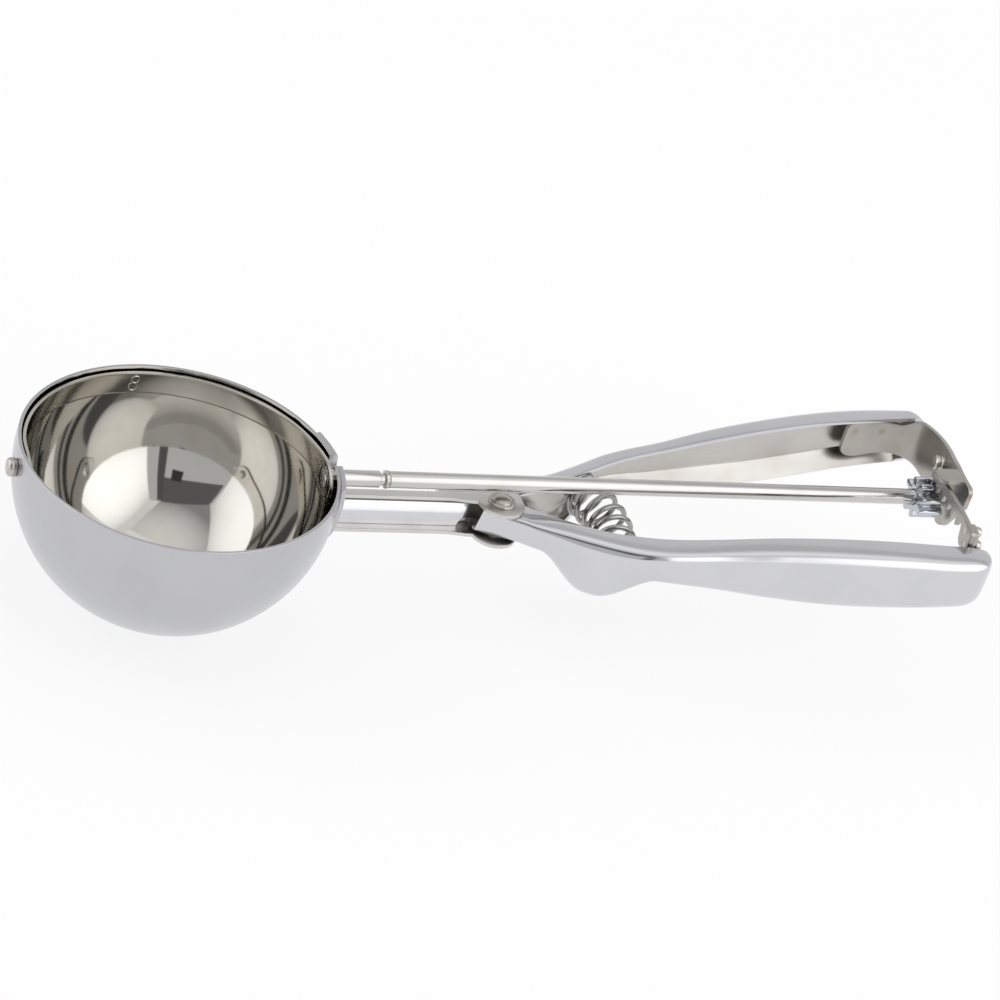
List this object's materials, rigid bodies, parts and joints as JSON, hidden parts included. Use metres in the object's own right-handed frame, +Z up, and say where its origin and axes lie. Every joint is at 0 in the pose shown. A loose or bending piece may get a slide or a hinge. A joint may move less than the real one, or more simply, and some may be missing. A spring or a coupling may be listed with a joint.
{
  "type": "squeeze-handle portion scoop",
  "caption": "Stainless portion scoop with a half-round bowl, a sweeping release blade on a geared rod, and a sprung squeeze lever beside a fixed handle.",
  "frame": {"origin": "under the middle of the scoop's length, on its centre plane, at the lowest point of the bowl", "axes": "+X from the bowl along the rod to the handle ends, +Y from the squeeze lever to the fixed handle, +Z up out of the bowl"},
  "size_m": [0.2472, 0.0738, 0.0469],
  "materials": {
    "polished_stainless": "mirror-polished stainless sheet with faint wiping scratches",
    "satin_stainless": "tumbled satin stainless",
    "spring_wire": "drawn spring wire, lightly dulled",
    "plated_gear": "bright plated gear stock",
    "bracket_strip": "rolled strip with a soft grey mill finish and weld marks"
  },
  "bodies": {
    "frame": {"bowl": "polished_stainless", "bowl_saddle": "polished_stainless", "neck_channel": "satin_stainless", "neck_liner": "polished_stainless", "pivot_rivet": "satin_stainless", "fixed_handle": "polished_stainless", "fixed_spring_seat": "satin_stainless", "return_spring": "spring_wire", "guide_bracket": "bracket_strip", "bracket_rivet": "satin_stainless"},
    "lever": {"squeeze_lever": "polished_stainless", "lever_spring_seat": "satin_stainless", "lever_rack_tab": "bracket_strip", "toothed_rack": "bracket_strip", "rack_rivet_upper": "satin_stainless", "rack_rivet_lower": "satin_stainless"},
    "blade": {"blade_rod": "polished_stainless", "rod_retaining_ring": "satin_stainless", "pinion_gear": "plated_gear", "sweeper_blade": "polished_stainless", "blade_pivot_pin": "satin_stainless"}
  },
  "joints": [
    {"name": "lever_squeeze", "type": "hinge", "parent": "frame", "child": "lever", "pos_m": [-0.00387, -0.0016, 0.037], "axis": [0, 0, 1], "range_deg": [0, 6.49], "stiffness_Nm_per_rad": 5, "springref_deg": -5.73, "deforming": ["return_spring"]},
    {"name": "blade_sweep", "type": "hinge", "parent": "frame", "child": "blade", "pos_m": [-0.08427, 0, 0.037], "axis": [1, 0, 0], "range_deg": [-180, 0]}
  ],
  "couplings": [
    {"joint": "blade_sweep", "follows": "lever_squeeze", "ratio": -27.714}
  ]
}
